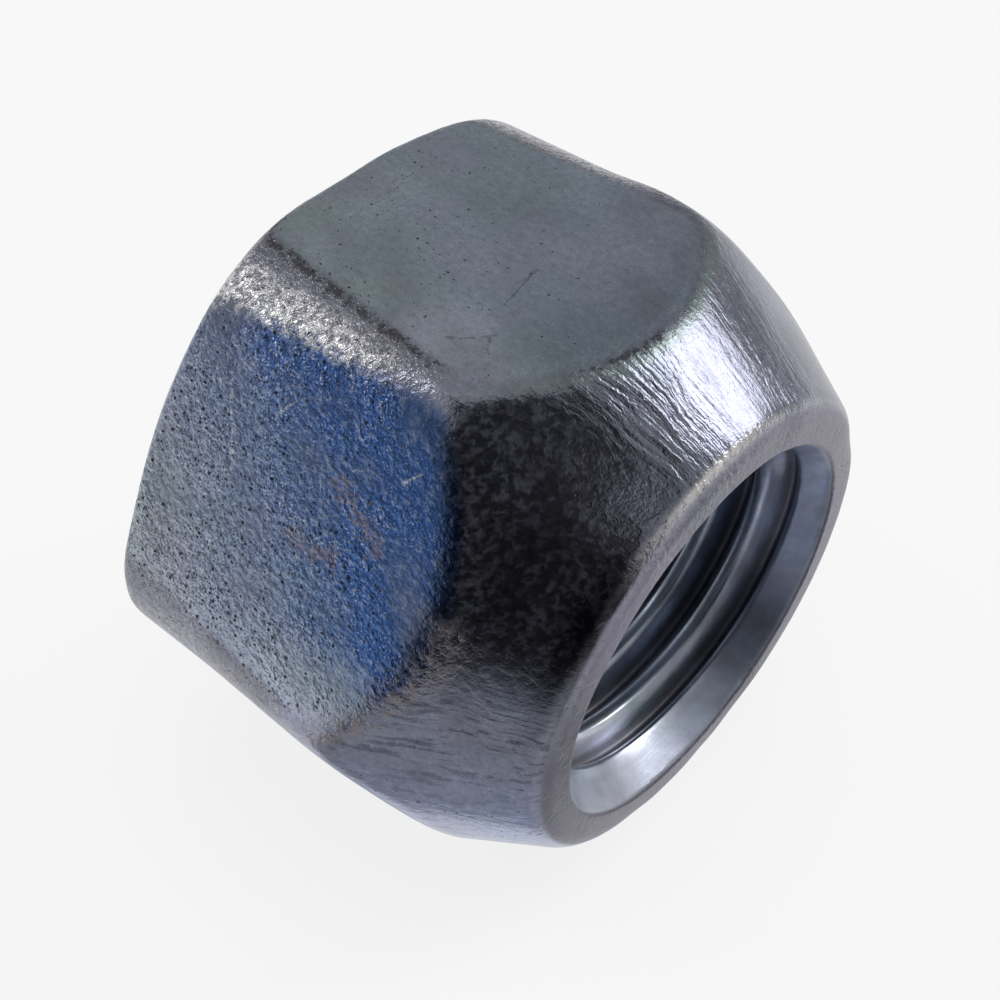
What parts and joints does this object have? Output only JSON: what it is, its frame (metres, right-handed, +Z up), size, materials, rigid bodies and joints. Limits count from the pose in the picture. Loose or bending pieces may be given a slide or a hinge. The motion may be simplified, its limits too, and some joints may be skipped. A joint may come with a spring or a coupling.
{
  "type": "lug nut",
  "caption": "Hexagonal wheel nut with a conical seat at one end, a bevelled back face, soft forged edges and a threaded through bore with a countersink at each mouth.",
  "frame": {"origin": "on the thread's axis, halfway along the nut", "axes": "+X along the thread's axis towards the conical seat; +Z up, square to the flat on top while the nut lies on the flat opposite; +Y to the left of +X, through a corner"},
  "size_m": [0.0154, 0.0214, 0.019],
  "materials": {
    "zinc_plated_steel": "bright zinc plating with a thin blue passivation, over a forged surface with fine pits, satin, polished by wear on the corners and the seat"
  },
  "bodies": {
    "root": {"lug_nut": "zinc_plated_steel"}
  },
  "joints": []
}
